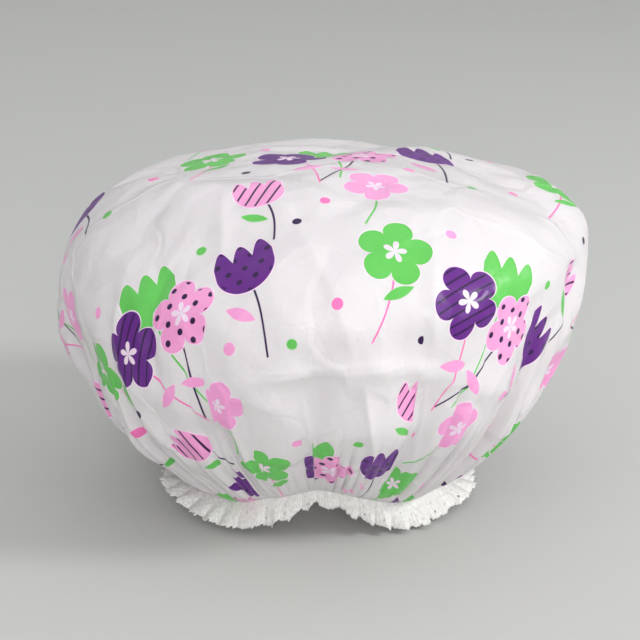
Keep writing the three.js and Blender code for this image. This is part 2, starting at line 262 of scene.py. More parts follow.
def flare_at(azimuth):
    """How far the lace turns out from hanging straight down, before its own unevenness."""
    return FLARE_TURN - FLARE_EASE * lift_share(azimuth) - stand_turn(azimuth)


# The lace's bend under the fold, and the hem's lowest height
LACE_TURN_RADIUS = HEM_FOLD_RADIUS + SEAT_GAP + LACE_THICKNESS / 2
CORNER_LENGTH = LACE_TURN_RADIUS * math.tan(FLARE_TURN / 2)
FLARE_LENGTH = LACE_WIDTH - LACE_HEADING - CORNER_LENGTH
FLARE_DROP = CORNER_LENGTH + FLARE_LENGTH * math.cos(FLARE_TURN)
CAD_RUFFLE_REACH = CAD_RUFFLE_HEIGHT * math.sin(FULL_TURN / 3) + LACE_THICKNESS / 2
HEM_HEIGHT = FLARE_DROP + CAD_RUFFLE_REACH * math.sin(FLARE_TURN) - FOOT_FLAT - HEM_FOLD_RADIUS

# Radii and lap angles of the elastic and of the lace's heading
ELASTIC_INNER = HEM_RADIUS - HEM_FOLD_RADIUS + FILM_THICKNESS + SEAT_GAP
LACE_HEADING_RADIUS = HEM_RADIUS - LACE_TURN_RADIUS
ELASTIC_LAP_ANGLE = ELASTIC_LAP / ELASTIC_INNER
LACE_LAP_ANGLE = LACE_LAP / LACE_HEADING_RADIUS


def hem_height(azimuth):
    stand = FLARE_LENGTH * (np.cos(FLARE_TURN - stand_turn(azimuth)) - math.cos(FLARE_TURN))
    return HEM_HEIGHT + HEM_LIFT * lift_share(azimuth) + stand


def meridian(azimuth, along):
    """Radius and height of the film's outer side: 0 crown, 1 shoulder, 2 hem, 3 end of fold, 4 raw edge."""
    azimuth, along = np.broadcast_arrays(azimuth, along)
    half_width, half_depth = CAP_WIDTH / 2, CAP_DEPTH / 2
    wide = half_width * half_depth / np.hypot(half_depth * np.cos(azimuth), half_width * np.sin(azimuth))
    shoulder = SHOULDER_HEIGHT * (1 + SHOULDER_TILT * np.cos(azimuth))
    hem = hem_height(azimuth)
    outward = np.sin(np.clip(along, 0, 1) * math.pi / 2)
    rise = np.sqrt(np.maximum(0, 1 - outward**CROWN_ROUNDNESS))
    crown = wide * outward, shoulder + (CAP_HEIGHT - shoulder) * rise
    t = np.clip(along - 1, 0, 1)
    radii = wide, wide, HEM_RADIUS + BELLY_REACH * (wide - HEM_RADIUS), HEM_RADIUS
    heights = shoulder, shoulder - BELLY_DROP * (shoulder - hem), hem + BELLY_RISE * (shoulder - hem), hem
    weights = (1 - t) ** 3, 3 * t * (1 - t) ** 2, 3 * t * t * (1 - t), t**3
    side = sum(w * r for w, r in zip(weights, radii)), sum(w * h for w, h in zip(weights, heights))
    turn = np.clip(along - 2, 0, 1) * math.pi / 2
    fold = HEM_RADIUS - HEM_FOLD_RADIUS * np.sin(turn), hem + HEM_FOLD_RADIUS * (1 - np.cos(turn))
    rest = np.clip(along - 3, 0, 1) * (HEM_ALLOWANCE - HEM_FOLD_RADIUS)

    def pick(i):
        return np.where(along <= 1, crown[i], np.where(along <= 2, side[i], fold[i] + i * rest))

    return pick(0), pick(1)


def around(azimuth, radius, height):
    return np.stack([radius * np.cos(azimuth), radius * np.sin(azimuth), height], axis=-1)


def mean_point(azimuth, along):
    radius, height = meridian(azimuth, along)
    return around(azimuth, radius, height)


def unit(vectors):
    return vectors / np.maximum(np.linalg.norm(vectors, axis=-1, keepdims=True), 1e-12)


def mean_normal(azimuth, along):
    step = 0.002
    near = np.maximum(along, step)
    outward = mean_point(azimuth, near + step) - mean_point(azimuth, near - step)
    sideways = mean_point(azimuth + step, near) - mean_point(azimuth - step, near)
    return unit(np.cross(outward, sideways))


# The film's flat disc: the distance from its middle at each place along the meridian
ALONG_STEPS = np.linspace(0, 4, 1601)
PROFILE = np.stack(meridian(np.full_like(ALONG_STEPS, math.pi / 2), ALONG_STEPS), axis=-1)
REACHED = np.concatenate([[0], np.cumsum(np.linalg.norm(np.diff(PROFILE, axis=0), axis=1))])
HEM_REACHED = float(np.interp(2, ALONG_STEPS, REACHED))


def on_disc(azimuth, along):
    reached = np.interp(along, ALONG_STEPS, REACHED)
    return np.stack([reached * np.cos(azimuth), reached * np.sin(azimuth)], axis=-1)


def ring_noise(azimuth, waves, seed):
    """Smooth noise round the cap, about -1 to 1."""
    radius = waves / FULL_TURN
    spots = [Vector((radius * math.cos(a), radius * math.sin(a), seed)) for a in azimuth]
    return np.array([noise.noise(spot) for spot in spots]) * NOISE_GAIN


def uneven(azimuth, mean, swing, waves, seed, least, most=math.inf):
    """A share that varies round the cap."""
    return np.clip(mean + swing * ring_noise(azimuth, waves, seed), least, most)


def wandered(azimuth, wander):
    """How far uneven spacing moves each place round the cap, in radians."""
    return sum(swing * ring_noise(azimuth, waves, seed) for swing, waves, seed in wander)


def new_mesh_object(name, points, faces, uvs=None):
    mesh = bpy.data.meshes.new(name)
    mesh.from_pydata(points.tolist(), [], faces)
    if uvs is not None:
        layer = mesh.uv_layers.new(name="FlatLay")
        corner = np.empty(len(mesh.loops), dtype=np.int32)
        mesh.loops.foreach_get("vertex_index", corner)
        layer.data.foreach_set("uv", uvs[corner].astype(np.float32).ravel())
    mesh.shade_smooth()
    obj = bpy.data.objects.new(name, mesh)
    bpy.context.scene.collection.objects.link(obj)
    return obj


def apply_modifiers(obj):
    graph = bpy.context.evaluated_depsgraph_get()
    mesh = bpy.data.meshes.new_from_object(obj.evaluated_get(graph))
    obj.modifiers.clear()
    obj.data = mesh


# The ridge of a crease is rounded, and part of it is a narrower edge. A crease fades out towards its ends.
CREASE_ROUNDING = 0.4 * MM
CREASE_EDGE = 0.3
CREASE_EDGE_WIDTH = 0.3
CREASE_FADE = 0.25
CREASE_END = 0.15

# Creases that stand proud of the film, or sink into it where the height is negative. Each is a list of
# (azimuth in degrees, place along the meridian), a height and a width.
CREASES = [
    ([(-109, 1.14), (-96, 1.11), (-83, 1.11), (-66, 1.17), (-54, 1.26), (-35, 1.42)], 3.6 * MM, 7 * MM),
    ([(-139, 0.69), (-135, 0.86), (-133, 1.07), (-131, 1.29), (-126, 1.48), (-125, 1.72)], 3.0 * MM, 5 * MM),
    ([(-127, 0.62), (-126, 0.92), (-122, 1.2)], -3.4 * MM, 6 * MM),
    ([(-109, 1.16), (-109, 1.37), (-108, 1.69)], 1.6 * MM, 3 * MM),
    ([(-94, 1.21), (-92, 1.41), (-91, 1.62)], 1.0 * MM, 3 * MM),
    ([(-82, 1.13), (-79, 1.39), (-75, 1.7)], 1.8 * MM, 3 * MM),
    ([(-68, 1.17), (-67, 1.45), (-63, 1.76)], 1.2 * MM, 4 * MM),
    ([(-132, 0.33), (-113, 0.66)], 1.3 * MM, 5 * MM),
    ([(-120, 0.4), (-101, 0.39), (-80, 0.33)], 1.0 * MM, 6 * MM),
    ([(-60, 0.55), (-68, 0.87), (-67, 1.11)], 1.6 * MM, 5 * MM),
    ([(-15, 1.18), (-24, 1.31), (-30, 1.45), (-37, 1.66)], 2.6 * MM, 5 * MM),
    ([(-96, 0.5), (-85, 0.91), (-83, 1.11)], 0.9 * MM, 5 * MM),
    ([(-151, 1.15), (-145, 1.29), (-140, 1.43), (-133, 1.67)], 2.4 * MM, 5 * MM),
    ([(-21, 0.6), (-21, 0.77), (-19, 1.0)], 2.0 * MM, 10 * MM),
]


def crease_height(disc, crease):
    """How far one crease lifts each point of the flat disc."""
    route, height, width = crease
    spots = np.array([on_disc(a * DEGREE, s) for a, s in route])
    lengths = np.linalg.norm(np.diff(spots, axis=0), axis=1)
    total = lengths.sum()
    best = np.full(len(disc), np.inf)
    place = np.zeros(len(disc))
    start = 0
    for low, high, length in zip(spots[:-1], spots[1:], lengths):
        along = np.clip(((disc - low) @ (high - low)) / length**2, 0, 1)
        away = np.linalg.norm(disc - low - along[:, None] * (high - low), axis=1)
        nearer = away < best
        best = np.where(nearer, away, best)
        place = np.where(nearer, (start + along * length) / total, place)
        start += length
    fade = smoothstep(0, CREASE_FADE, place) * smoothstep(0, CREASE_FADE, 1 - place)
    away = np.sqrt(best**2 + CREASE_ROUNDING**2) / width
    ridge = (1 - CREASE_EDGE) * np.exp(-away) + CREASE_EDGE * np.exp(-away / CREASE_EDGE_WIDTH)
    return height * (CREASE_END + (1 - CREASE_END) * fade) * ridge


# The film has been folded and crumpled: spacing of the lattice that its flat facets lie between, and their
# height. The first is in the solid as well.
CRUMPLES = [(40 * MM, 3.4 * MM), (19 * MM, 0.7 * MM), (8 * MM, 0.25 * MM)]
LATTICE_SWAY = 0.28


def crumple(disc, spacing):
    """Height of the crumpled film, -1 to 1: flat triangles between the corners of a lattice.

    The lattice is bent by waves, so that no row is straight.
    """
    x, y = disc.T / spacing
    across = x + LATTICE_SWAY * np.sin(1.9 * y + 0.7)
    up = y + LATTICE_SWAY * np.sin(1.6 * x + 2.1)
    row = up / math.sin(math.pi / 3)
    column = across - row / 2
    i, j = np.floor(column), np.floor(row)
    right, above = column - i, row - j

    def corner(m, n):
        return np.sin(2.7 * m + 4.3 * n + 1.9 * m * n)

    far_right, far_above = corner(i + 1, j), corner(i, j + 1)
    lower = corner(i, j) * (1 - right - above) + far_right * right + far_above * above
    upper = corner(i + 1, j + 1) * (right + above - 1) + far_above * (1 - right) + far_right * (1 - above)
    return np.where(right + above < 1, lower, upper)


def main_gathers(azimuth, along, turns, front):
    """The main gathers: sharp valleys down the side, which go on as shallow creases in the hem."""
    usual, less = GATHERS_ROUND
    valley = (0.5 + 0.5 * np.cos(FULL_TURN * turns)) ** GATHER_SHARPNESS
    side = smoothstep(*GATHERS_GROW, along) * (1 - smoothstep(*GATHERS_END, along))
    hem = smoothstep(*GATHERS_END, along) * (1 - smoothstep(*HEM_CREASES_END, along))
    share = uneven(azimuth, mean=0.9, swing=0.45, waves=14, seed=3.7, least=0.35)
    return -(GATHER_DEPTH * side * share * (usual - less * front) + HEM_CREASE_DEPTH * hem) * valley


def fine_gathers(azimuth, along, turns, front):
    """The fine gathers between the main ones: round ridges with sharp valleys."""
    usual, less = FINE_ROUND
    ridge = np.abs(np.sin(math.pi * turns))
    side = smoothstep(*FINE_GROW, along) * (1 - smoothstep(*FINE_END, along)) * (usual - less * front)
    share = uneven(azimuth, mean=0.85, swing=0.5, waves=23, seed=5.5, least=0.3)
    return FINE_GATHER_DEPTH * (ridge - FINE_GATHER_MEAN) * side * share


def hem_puckers(azimuth, along, front):
    """The small puckers that the elastic draws into the hem."""
    usual, less = PUCKERS_ROUND
    place = azimuth + wandered(azimuth, PUCKER_WANDER)
    ridge = np.abs(np.sin(0.5 * HEM_GATHERS * place)) ** PUCKER_SHARPNESS
    shrink = 1 - PUCKERS_SHRUNK * smoothstep(*PUCKERS_SHRINK, along)
    side = smoothstep(*PUCKERS_GROW, along) * shrink * (1 - smoothstep(*PUCKERS_END, along))
    share = uneven(azimuth, mean=usual - less * front, swing=0.4, waves=47, seed=2.5, least=0.1)
    return HEM_GATHER_DEPTH * (ridge - 1) * side * share


def film_push(azimuth, along, disc):
    """How far the film stands out from its mean surface, gathers, dents and creases counted."""
    main, fine = gather_phases(azimuth)
    front = bell(azimuth, *FRONT)
    push = main_gathers(azimuth, along, main, front)
    push += fine_gathers(azimuth, along, fine, front)
    push += hem_puckers(azimuth, along, front)
    for at, spread, place, reach, share in DENTS:
        push -= CAP_HEIGHT * share * bell(azimuth, at, spread) * np.exp(-(((along - place) / reach) ** 2))
    loose = 1 - smoothstep(*CREASES_END, along)
    for crease in CREASES:
        push += loose * crease_height(disc, crease)
    crumpled = 1 - smoothstep(*CRUMPLES_END, along)
    for spacing, height in CRUMPLES:
        push += crumpled * height * crumple(disc, spacing)
    return push


def gather_phases(azimuth):
    """Turns of the main and the fine gathers round the cap; each valley is at a whole number."""
    wander = sum(swing * np.sin(waves * azimuth + phase) for waves, swing, phase in GATHER_WANDER)
    drift = wandered(azimuth, FINE_WANDER)
    return GATHER_COUNT * (azimuth + wander) / FULL_TURN, FINE_GATHERS * (azimuth + drift) / FULL_TURN


# Film up to this much fuller than its ring hides none of its print, and the ring is never taken as smaller
FREE_FULLNESS = 1.08
LEAST_RADIUS = 1 * MM


def print_place(azimuth, along):
    """Where each point lies on the flat printed disc; the gathers' valleys swallow some of the print."""
    reached = np.interp(along, ALONG_STEPS, REACHED)
    radius, _ = meridian(azimuth, along)
    fullness = reached / np.maximum(radius, LEAST_RADIUS) / FREE_FULLNESS
    hidden = np.maximum(0, 1 - 1 / np.maximum(fullness, 1)) * FULL_TURN
    main, fine = gather_phases(azimuth)
    shift = HIDDEN_IN_GATHERS * (main % 1 - 0.5) / GATHER_COUNT
    shift += (1 - HIDDEN_IN_GATHERS) * (fine % 1 - 0.5) / FINE_GATHERS
    flat = azimuth - hidden * shift
    return np.stack([reached * np.cos(flat), reached * np.sin(flat)], axis=-1)


def film_rings():
    """Places along the meridian with the number of points round each, doubling outwards."""
    crown = np.arange(1, CROWN_RINGS + 1) * CROWN_REACH / CROWN_RINGS
    side = CROWN_REACH + (HEM_REACHED - CROWN_REACH) * np.arange(1, SIDE_RINGS + 1) / SIDE_RINGS
    rings = []
    for reached in np.concatenate([crown, side]):
        count = next(points for limit, points in RING_POINTS if reached < limit)
        rings.append((float(np.interp(reached, REACHED, ALONG_STEPS)), count))
    hem_points = rings[-1][1]
    rings += [(2 + i / FOLD_RINGS, hem_points) for i in range(1, FOLD_RINGS + 1)]
    rings += [(3 + i / EDGE_RINGS, hem_points) for i in range(1, EDGE_RINGS + 1)]
    return rings


def ring_faces(counts):
    """Faces from a middle point out through rings, each with as many points as the last or double."""
    first = counts[0]
    faces = [(0, 1 + j, 1 + (j + 1) % first) for j in range(first)]
    start = 1
    for inner, outer in zip(counts[:-1], counts[1:]):
        after = start + inner
        for j in range(inner):
            k = (j + 1) % inner
            a, b = start + j, start + k
            if outer == inner:
                faces.append((a, after + j, after + k, b))
            else:
                c, d, e = after + 2 * j, after + 2 * j + 1, after + (2 * j + 2) % outer
                faces += [(a, c, d), (a, d, b), (b, d, e)]
        start = after
    return faces


def add_wall(obj, thickness, offset, inner_slot=0):
    """Thickens a sheet; its inner side and its rim take the material slot that is so many further on."""
    shell = obj.modifiers.new("wall", "SOLIDIFY")
    shell.thickness = thickness
    shell.offset = offset
    shell.material_offset = inner_slot
    shell.material_offset_rim = inner_slot


def make_film():
    rings = film_rings()
    azimuth = np.concatenate([[0.0]] + [np.arange(n) * FULL_TURN / n for _, n in rings])
    along = np.concatenate([[0.0]] + [np.full(n, a) for a, n in rings])
    normal = mean_normal(azimuth, along)
    normal[0] = (0, 0, 1)
    push = film_push(azimuth, along, on_disc(azimuth, along))
    points = mean_point(azimuth, along) + normal * push[:, None]
    faces = ring_faces([count for _, count in rings])
    film = new_mesh_object("film_dome", points, faces, print_place(azimuth, along) / FLAT_DIAMETER + 0.5)
    add_wall(film, FILM_THICKNESS, -1, inner_slot=1)
    return film


def climb(lap_angle, turned):
    """How far a band's second end has climbed to lie on its first."""
    climbed = FULL_TURN - CLIMBED_EARLY * lap_angle
    return smoothstep(climbed - CLIMB_ANGLE, climbed, turned)


def grid_faces(rows, columns, wrap=False):
    last = columns if wrap else columns - 1
    faces = []
    for i in range(rows - 1):
        near, far = i * columns, (i + 1) * columns
        for j in range(last):
            k = (j + 1) % columns
            faces.append((near + j, far + j, far + k, near + k))
    return faces


def lace_rows(azimuth, layer):
    """Rows of points down the lace's heading, round its bend under the fold and out along the ruffle."""
    columns = len(azimuth)
    turn_radius = LACE_TURN_RADIUS + layer * (LACE_THICKNESS + SEAT_GAP)
    phase = RUFFLE_COUNT * (azimuth + wandered(azimuth, RUFFLE_WANDER))
    flute = np.abs(np.sin(phase / 2)) ** FLUTE_SHARPNESS
    rib = np.cos(np.arange(columns) * FULL_TURN / STEPS_PER_RIB)
    drawn = np.random.default_rng(7).uniform(-1, 1, columns // STEPS_PER_RIB + 1)
    teeth = np.repeat(drawn, STEPS_PER_RIB)[:columns]
    lobes = ring_noise(azimuth, waves=17, seed=3.1)
    curl = ring_noise(azimuth, waves=61, seed=1.9)
    left = bell(azimuth, *LEFT)
    tuck = cos_arch(azimuth, *FRONT_PEAK[:2])
    flare = flare_at(azimuth) + LEFT_FLARE * left + RIGHT_FLARE * bell(azimuth, *RIGHT)
    flare += LOBE_TURN * lobes - FRONT_TUCK * tuck
    height = RUFFLE_HEIGHT * uneven(azimuth, mean=1, swing=0.5, waves=29, seed=9.2, least=0.4, most=1.4)
    height *= 1 - FRONT_SMOOTHING * bell(azimuth, *FRONT_LEFT)
    length = FLARE_LENGTH - SCALLOP_DEPTH * (1 - flute) + RIB_REACH * rib - TUCK_SHORTENING * tuck
    length += TOOTH_REACH * (1 + left) * teeth + (LOBE_REACH + LEFT_LOBE_REACH * left) * lobes
    centre_height = hem_height(azimuth) + HEM_FOLD_RADIUS

    def on_bend(turn):
        return HEM_RADIUS - turn_radius * np.cos(turn), centre_height - turn_radius * np.sin(turn)

    rows = []
    for share in HEADING_ROWS:
        rows.append(around(azimuth, HEM_RADIUS - turn_radius, centre_height + share * LACE_HEADING))
    for share in BEND_ROWS:
        rows.append(around(azimuth, *on_bend(share * flare)))
    root_radius, root_height = on_bend(flare)
    for i in range(1, FLARE_ROWS + 1):
        share = i / FLARE_ROWS
        grown = smoothstep(*RUFFLE_GROWS, share) ** RUFFLE_GROWTH
        wave = height * grown * (2 * flute - 1) + RIB_RELIEF * rib * min(1, 3 * share)
        sway = RUFFLE_SWAY * grown * (np.sin(phase) + curl)
        radius = root_radius + share * length * np.sin(flare) + wave * np.cos(flare)
        rise = root_height - share * length * np.cos(flare) + wave * np.sin(flare)
        rise = np.maximum(rise, FOOT_HEIGHT + FOOT_SQUEEZE * (rise - FOOT_HEIGHT))
        rows.append(around(azimuth + sway / radius, radius, np.maximum(rise, LACE_THICKNESS / 2)))
    return rows


def is_eyelet(row, column):
    rib, step = divmod(column, STEPS_PER_RIB)
    return row in EYELET_ROWS and rib % EYELET_SPACING == EYELET_RIB and step in EYELET_STEPS


def make_lace():
    steps = RUFFLE_COUNT * RIBS_PER_RUFFLE * STEPS_PER_RIB
    turned = np.arange(0, FULL_TURN + LACE_LAP_ANGLE, FULL_TURN / steps)
    columns = len(turned)
    rows = lace_rows(LACE_LAP_AT + turned, climb(LACE_LAP_ANGLE, turned))
    count = len(rows)
    faces = [face for face in grid_faces(count, columns) if not is_eyelet(*divmod(face[0], columns))]
    flat_along = np.tile(turned * LACE_HEADING_RADIUS * LACE_FULLNESS, count)
    flat_across = np.repeat(np.linspace(0, LACE_WIDTH, count), columns)
    uvs = np.stack([flat_along, flat_across], axis=-1)
    lace = new_mesh_object("lace_ruffle", np.concatenate(rows), faces, uvs)
    add_wall(lace, LACE_WALL, 0)
    return lace


def make_elastic():
    """A flat braided band: cords side by side, puckered where it has drawn in."""
    columns = ELASTIC_COLUMNS
    profile = ROWS_PER_CORD * ELASTIC_CORDS
    turned = np.linspace(0, FULL_TURN + ELASTIC_LAP_ANGLE, columns)
    azimuth = ELASTIC_LAP_AT + turned
    inner = ELASTIC_INNER + climb(ELASTIC_LAP_ANGLE, turned) * (ELASTIC_THICKNESS + SEAT_GAP)
    foot = hem_height(azimuth) + HEM_FOLD_RADIUS
    middle = inner + ELASTIC_THICKNESS / 2
    rows = []
    for side in (1, -1):
        for i in range(profile + 1):
            share = i / profile if side > 0 else 1 - i / profile
            cord = np.abs(np.sin(share * ELASTIC_CORDS * math.pi))
            edge = min(1, ELASTIC_EDGE_RISE * min(share, 1 - share) + ELASTIC_EDGE)
            pucker = ELASTIC_PUCKER_DEPTH * np.sin(azimuth * ELASTIC_PUCKERS + cord)
            round_share = CORD_VALLEY + (1 - CORD_VALLEY) * cord
            thick = side * (ELASTIC_THICKNESS / 2 - CORD_INSET) * round_share * edge
            rows.append(around(azimuth, middle + thick + pucker, foot + ELASTIC_WIDTH * (1 - share)))
    count = len(rows)
    last = (count - 1) * columns
    faces = grid_faces(count, columns)
    faces += [(last + j, j, j + 1, last + j + 1) for j in range(columns - 1)]
    faces.append(tuple(i * columns for i in range(count))[::-1])
    faces.append(tuple(i * columns + columns - 1 for i in range(count)))
    flat_along = np.tile(turned * ELASTIC_INNER, count)
    flat_across = np.repeat(np.linspace(0, 2 * ELASTIC_WIDTH, count), columns)
    uvs = np.stack([flat_along, flat_across], axis=-1)
    return new_mesh_object("elastic_braid", np.concatenate(rows), faces, uvs)


def lap_layer(lap_at, lap_angle, azimuth):
    """0 where one layer of a lapped band lies, 1 where its second end lies on the first."""
    turned = (azimuth - lap_at) % FULL_TURN
    return np.where(turned < lap_angle + LAP_MARGIN, 1, climb(lap_angle, turned))


def make_stitches(name, start, sweep, stitches, radius_at, row):
    """A zigzag of thread that dips into the layers at each turn."""
    low, high = row
    share = np.linspace(0, 1, stitches * STITCH_POINTS + 1)
    azimuth = start + share * sweep
    zigzag = np.abs((share * stitches / 2) % 1 * 2 - 1)
    dip = np.clip(1 - DIP_STEEPNESS * np.minimum(zigzag, 1 - zigzag), 0, 1)
    height = hem_height(azimuth) + low + (high - low) * zigzag
    points = around(azimuth, radius_at(azimuth, dip), height)
    curve = bpy.data.curves.new(name, "CURVE")
    curve.dimensions = "3D"
    curve.bevel_depth = THREAD_RADIUS
    curve.bevel_resolution = 2
    curve.use_fill_caps = True
    spline = curve.splines.new("POLY")
    spline.points.add(len(points) - 1)
    weighted = np.column_stack([points, np.ones(len(points))])
    spline.points.foreach_set("co", weighted.astype(np.float32).ravel())
    obj = bpy.data.objects.new(name, curve)
    bpy.context.scene.collection.objects.link(obj)
    return obj


def on_elastic(azimuth, dip):
    layer = lap_layer(ELASTIC_LAP_AT, ELASTIC_LAP_ANGLE, azimuth)
    face = ELASTIC_INNER + ELASTIC_THICKNESS + layer * (ELASTIC_THICKNESS + SEAT_GAP)
    return face + THREAD_RADIUS * (1 - STITCH_DIP * dip)


def on_heading(azimuth, dip):
    layer = lap_layer(LACE_LAP_AT, LACE_LAP_ANGLE, azimuth)
    face = LACE_HEADING_RADIUS - LACE_THICKNESS / 2 - layer * (LACE_THICKNESS + SEAT_GAP)
    return face - THREAD_RADIUS * (1 - STITCH_DIP * dip)


# Heights of the zigzags above the hem: the seam through all layers, over it the joins of the lapped ends
SEAM_LOW = HEM_FOLD_RADIUS + SEAM_MARGIN
SEAM_ROW = (SEAM_LOW, SEAM_LOW + SEAM_WIDTH)
JOIN_LOW = SEAM_ROW[1] + SEAM_MARGIN
JOIN_ROW = (JOIN_LOW, JOIN_LOW + JOIN_WIDTH)

# Each zigzag: where it starts, its sweep, its stitches and the face that it is sewn to
SEAM_SWEEP = FULL_TURN - 2 * SEAM_TAIL
NEEDLE_SEAM = (LACE_LAP_AT + SEAM_TAIL, SEAM_SWEEP, SEAM_STITCHES, on_heading)
BOBBIN_SEAM = (ELASTIC_LAP_AT + SEAM_TAIL, SEAM_SWEEP, SEAM_STITCHES, on_elastic)
ELASTIC_JOIN = (ELASTIC_LAP_AT, ELASTIC_LAP_ANGLE, ELASTIC_JOIN_STITCHES, on_elastic)
LACE_JOIN = (LACE_LAP_AT, LACE_LAP_ANGLE, LACE_JOIN_STITCHES, on_heading)


# Materials


def srgb(red, green, blue):
    """The scene's linear colour of an ordinary 0 to 255 one."""
    parts = [value / 255 for value in (red, green, blue)]
    return tuple(p / 12.92 if p <= 0.04045 else ((p + 0.055) / 1.055) ** 2.4 for p in parts) + (1,)


class Nodes:
    """A small way to write sums as nodes. Sockets and plain numbers mix freely."""

    def __init__(self, tree):
        self.tree = tree

    def add(self, kind, **settings):
        node = self.tree.nodes.new(kind)
        for key, value in settings.items():
            setattr(node, key, value)
        return node

    def feed(self, socket, value):
        if isinstance(value, bpy.types.NodeSocket):
            self.tree.links.new(value, socket)
        else:
            socket.default_value = value

    def feed_in_order(self, node, values):
        for socket, value in zip(node.inputs, values):
            self.feed(socket, value)
        return node.outputs

    def feed_named(self, node, **values):
        for key, value in values.items():
            self.feed(node.inputs[key.replace("_", " ")], value)
        return node.outputs

    def math(self, operation, *values, clamp=False):
        node = self.add("ShaderNodeMath", operation=operation, use_clamp=clamp)
        return self.feed_in_order(node, values)[0]

    def minus(self, value, less):
        return self.math("SUBTRACT", value, less)

    def times(self, value, factor):
        return self.math("MULTIPLY", value, factor)

    def vector(self, operation, *values):
        node = self.add("ShaderNodeVectorMath", operation=operation)
        outputs = self.feed_in_order(node, values)
        return outputs["Value" if operation in ("LENGTH", "DOT_PRODUCT") else "Vector"]

    def split(self, vector):
        return tuple(self.feed_in_order(self.add("ShaderNodeSeparateXYZ"), [vector]))

    def join(self, x, y):
        return self.feed_in_order(self.add("ShaderNodeCombineXYZ"), (x, y))[0]

    def turned(self, vector, angle):
        node = self.add("ShaderNodeVectorRotate", rotation_type="Z_AXIS")
        return self.feed_named(node, Vector=vector, Angle=angle)[0]

    def mix(self, share, low, high):
        node = self.add("ShaderNodeMix", data_type="RGBA")
        self.feed(node.inputs[0], share)
        self.feed(node.inputs[6], low)
        self.feed(node.inputs[7], high)
        return node.outputs[2]

    def noise(self, vector, scale, detail, roughness):
        node = self.add("ShaderNodeTexNoise")
        return self.feed_named(node, Vector=vector, Scale=scale, Detail=detail, Roughness=roughness)["Fac"]

    def bump(self, height, strength, distance, below=None):
        node = self.add("ShaderNodeBump")
        if below is not None:
            self.feed(node.inputs["Normal"], below)
        return self.feed_named(node, Height=height, Strength=strength, Distance=distance)["Normal"]

    def relief(self, vector, kind, below=None):
        (scale, detail, roughness), strength, height = kind
        return self.bump(self.noise(vector, scale, detail, roughness), strength, height, below)

    def flat_lay(self):
        """Where a point lies on the flat sheet: shares of the disc on the film, metres on the lace."""
        return self.add("ShaderNodeUVMap", uv_map="FlatLay").outputs[0]

    def use(self, group, *values):
        return self.feed_in_order(self.add("ShaderNodeGroup", node_tree=group), values)[0]


class Material(Nodes):
    def __init__(self, name):
        self.material = bpy.data.materials.new(name)
        self.material.use_nodes = True
        super().__init__(self.material.node_tree)
        self.shader = self.tree.nodes["Principled BSDF"]

    def place(self):
        return self.add("ShaderNodeTexCoord").outputs["Object"]

    def set(self, **values):
        self.feed_named(self.shader, **values)


def group(name, inputs, output, sums):
    """A node group; sums takes its Nodes and its input sockets, and gives its one output."""
    tree = bpy.data.node_groups.new(name, "ShaderNodeTree")
    for label, kind in inputs:
        tree.interface.new_socket(name=label, in_out="INPUT", socket_type="NodeSocket" + kind)
    tree.interface.new_socket(name="Result", in_out="OUTPUT", socket_type="NodeSocket" + output)
    nodes = Nodes(tree)
    given = nodes.add("NodeGroupInput").outputs
    result = sums(nodes, *[given[i] for i in range(len(inputs))])
    nodes.feed(nodes.add("NodeGroupOutput").inputs[0], result)
    return tree


# The print: a generic scatter of blossoms, tulips, leaves and confetti, in millimetres on the flat disc
TILE_WIDE = 150
TILE_HIGH = 104
EDGE_SOFTNESS = 0.25
RIM_WIDTH = 0.5
MARK_INSET = 0.6
FAR_INSIDE = 99

# The blossom: petals, how round and how deep they are, and its middle, as shares of its size
PETALS = 5
PETAL_ROUNDNESS = 0.55
PETAL_DEPTH = 0.42
BLOSSOM_MIDDLE = 0.68

# The tulip: its cup, the notches' height and the tips' over them as shares of its size, and their spacing
TULIP_CUP = 0.82
TULIP_NOTCH = 0.35
TULIP_TIP_HEIGHT = 0.5
TULIP_TIPS = 5.7

# The leaf's bow as a share of its length; the stem's half width, and how far and how often it bends
LEAF_BOW = 0.34
STEM_HALF_WIDTH = 0.45
STEM_BEND = 2.2
STEM_WAVE = 3.4

# Marks on a shape: stripes with their slant, half their spacing and half their gap, and rows of dots
STRIPE_SLANT = 0.6
STRIPE_SPACING = 2.1
STRIPE_GAP = 1.65
DOT_ACROSS = 7
DOT_UP = 6
DOT_RADIUS = 1.25

GREEN = srgb(100, 190, 90)
PURPLE = srgb(98, 30, 130)
DARK = srgb(44, 6, 70)
PINK = srgb(247, 158, 205)
PALE = srgb(250, 214, 236)
ROSE = srgb(240, 120, 180)

